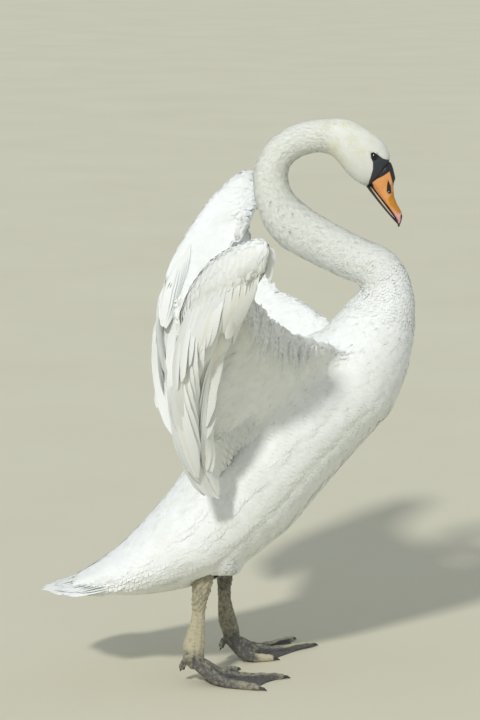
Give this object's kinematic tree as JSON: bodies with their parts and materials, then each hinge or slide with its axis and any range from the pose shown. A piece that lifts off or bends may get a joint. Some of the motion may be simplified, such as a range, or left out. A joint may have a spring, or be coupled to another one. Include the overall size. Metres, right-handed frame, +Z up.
{
  "type": "mute swan",
  "caption": "Life-size still model of a mute swan, standing with its neck in an S and its wings half raised.",
  "frame": {"origin": "on the floor under the middle of the bird's bounding box", "axes": "+Z up, +X the way the bird faces, +Y towards its left side"},
  "size_m": [0.6548, 0.8722, 0.9913],
  "materials": {
    "plumage": "soft white body feathers",
    "flight_feather": "smooth white vanes",
    "orange_bill": "satin horn",
    "black_bill": "satin horn",
    "eye": "wet and glossy",
    "leg_skin": "scaled skin with dried mud",
    "claw": "dark horn"
  },
  "bodies": {
    "root": {"alula_left": "flight_feather", "alula_right": "flight_feather", "bill_lower": "black_bill", "bill_upper": "orange_bill", "claw_hind_left": "claw", "claw_hind_right": "claw", "claw_inner_left": "claw", "claw_inner_right": "claw", "claw_middle_left": "claw", "claw_middle_right": "claw", "claw_outer_left": "claw", "claw_outer_right": "claw", "eye_left": "eye", "eye_right": "eye", "foot_left": "leg_skin", "foot_right": "leg_skin", "forearm_left": "plumage", "forearm_right": "plumage", "hand_left": "plumage", "hand_right": "plumage", "head": "plumage", "inner_wing_left": "plumage", "inner_wing_right": "plumage", "neck_1": "plumage", "neck_2": "plumage", "neck_3": "plumage", "neck_4": "plumage", "primaries_left": "flight_feather", "primaries_right": "flight_feather", "primary_coverts_left": "flight_feather", "primary_coverts_right": "flight_feather", "secondaries_left": "flight_feather", "secondaries_right": "flight_feather", "shank_left": "plumage", "shank_right": "plumage", "tail": "flight_feather", "tarsus_left": "leg_skin", "tarsus_right": "leg_skin", "tertials_left": "flight_feather", "tertials_right": "flight_feather", "trunk": "plumage"}
  },
  "joints": []
}
